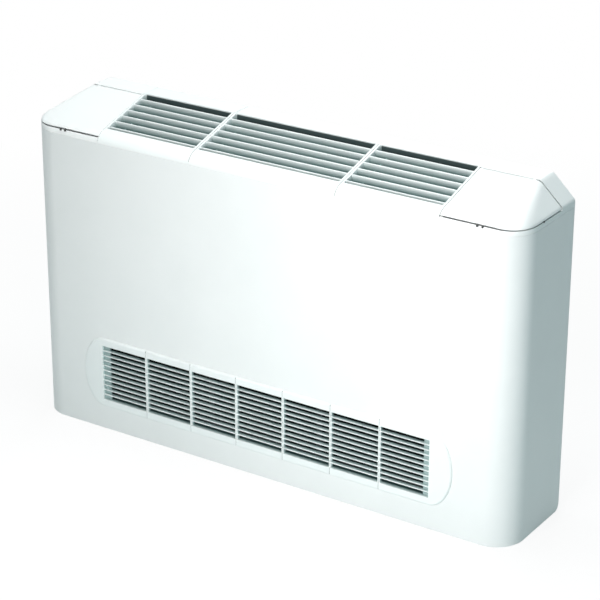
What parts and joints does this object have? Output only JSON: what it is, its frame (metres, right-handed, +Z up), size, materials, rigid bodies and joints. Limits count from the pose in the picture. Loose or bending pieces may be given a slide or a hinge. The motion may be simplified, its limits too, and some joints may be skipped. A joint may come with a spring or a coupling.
{
  "type": "floor standing fan coil unit",
  "caption": "Slim floor standing air conditioner cabinet with a sloped top outlet grille, hinged end lids and a tilting low front intake grille.",
  "frame": {"origin": "middle of the footprint on the floor", "axes": "+Z up, +X along the length to the viewer's right seen from the front, +Y towards the wall"},
  "size_m": [0.926, 0.1756, 0.57],
  "materials": {
    "cabinet_paint": "white satin powder coat",
    "white_moulding": "white fine-grained moulding",
    "galvanised": "galvanised sheet",
    "steel": "bright zinc plated",
    "aluminium": "mill finish",
    "copper": "drawn copper tube",
    "brass": "turned",
    "rubber": "moulded",
    "filter_mesh": "open woven mesh",
    "grey_plastic": "moulded",
    "black_plastic": "fine texture",
    "green_plastic": "smooth"
  },
  "bodies": {
    "chassis": {"air_vent_body": "brass", "base_pan": "galvanised", "cabinet_shell": "cabinet_paint", "cable_gland": "black_plastic", "chassis_side_left": "galvanised", "chassis_side_right": "galvanised", "coil_end_plate_left": "galvanised", "coil_end_plate_right": "galvanised", "condensate_tray": "grey_plastic", "control_panel": "grey_plastic", "electrical_box": "galvanised", "electrical_cover": "galvanised", "end_cap_left": "white_moulding", "end_cap_right": "white_moulding", "fan_deck": "galvanised", "fan_housing_left_lower": "grey_plastic", "fan_housing_left_upper": "grey_plastic", "fan_housing_right_lower": "grey_plastic", "fan_housing_right_upper": "grey_plastic", "fin_block": "aluminium", "intake_clip_left": "steel", "intake_clip_right": "steel", "lid_rod_left": "steel", "lid_rod_right": "steel", "motor_body": "steel", "motor_ring_left": "rubber", "motor_ring_right": "rubber", "motor_yoke_left": "galvanised", "motor_yoke_right": "galvanised", "outlet_grille_left": "white_moulding", "outlet_grille_middle": "white_moulding", "outlet_grille_right": "white_moulding", "rear_panel": "galvanised", "return_bend_1": "copper", "return_bend_2": "copper", "return_bend_3": "copper", "return_bend_4": "copper", "return_header": "copper", "return_union_nut": "brass", "supply_header": "copper", "supply_union_nut": "brass", "switch_block": "black_plastic"},
    "lid_left": {"lid_left": "white_moulding"},
    "lid_right": {"lid_right": "white_moulding"},
    "intake_grille": {"intake_grille_1": "white_moulding", "intake_grille_2": "white_moulding", "intake_grille_3": "white_moulding", "intake_grille_4": "white_moulding", "intake_grille_5": "white_moulding", "intake_grille_6": "white_moulding", "intake_grille_7": "white_moulding", "filter_frame": "grey_plastic", "filter_mesh": "filter_mesh"},
    "fan_rotor": {"motor_shaft": "steel", "fan_wheel_left": "aluminium", "fan_wheel_right": "aluminium"},
    "thermostat_knob": {"thermostat_knob": "black_plastic"},
    "speed_knob": {"speed_knob": "black_plastic"},
    "power_button": {"power_button": "green_plastic"},
    "air_vent_knob": {"air_vent_knob": "black_plastic"}
  },
  "joints": [
    {"name": "lid_left_hinge", "type": "hinge", "parent": "chassis", "child": "lid_left", "pos_m": [-0.37248, 0.04325, 0.56583], "axis": [-1, 0, 0], "range_deg": [0, 105]},
    {"name": "lid_right_hinge", "type": "hinge", "parent": "chassis", "child": "lid_right", "pos_m": [0.37248, 0.04325, 0.56583], "axis": [-1, 0, 0], "range_deg": [0, 105]},
    {"name": "intake_grille_tilt", "type": "hinge", "parent": "chassis", "child": "intake_grille", "pos_m": [0, -0.08525, 0.0472], "axis": [1, 0, 0], "range_deg": [0, 60]},
    {"name": "fan_spin", "type": "hinge", "parent": "chassis", "child": "fan_rotor", "pos_m": [0, 0.00975, 0.108], "axis": [1, 0, 0], "continuous": true},
    {"name": "thermostat_turn", "type": "hinge", "parent": "chassis", "child": "thermostat_knob", "pos_m": [0.34647, -0.00734, 0.54276], "axis": [0, -0.2656, 0.9641], "range_deg": [-135, 135]},
    {"name": "speed_turn", "type": "hinge", "parent": "chassis", "child": "speed_knob", "pos_m": [0.39848, -0.00734, 0.54276], "axis": [0, -0.2656, 0.9641], "range_deg": [-45, 90]},
    {"name": "power_press", "type": "slide", "parent": "chassis", "child": "power_button", "axis": [0, 0.2656, -0.9641], "range_m": [0, 0.002], "stiffness_N_per_m": 300, "springref_m": -0.0005},
    {"name": "air_vent_turn", "type": "hinge", "parent": "chassis", "child": "air_vent_knob", "pos_m": [-0.34445, 0.06265, 0.4157], "axis": [0, 0.4384, 0.8988], "range_deg": [0, 180]}
  ]
}
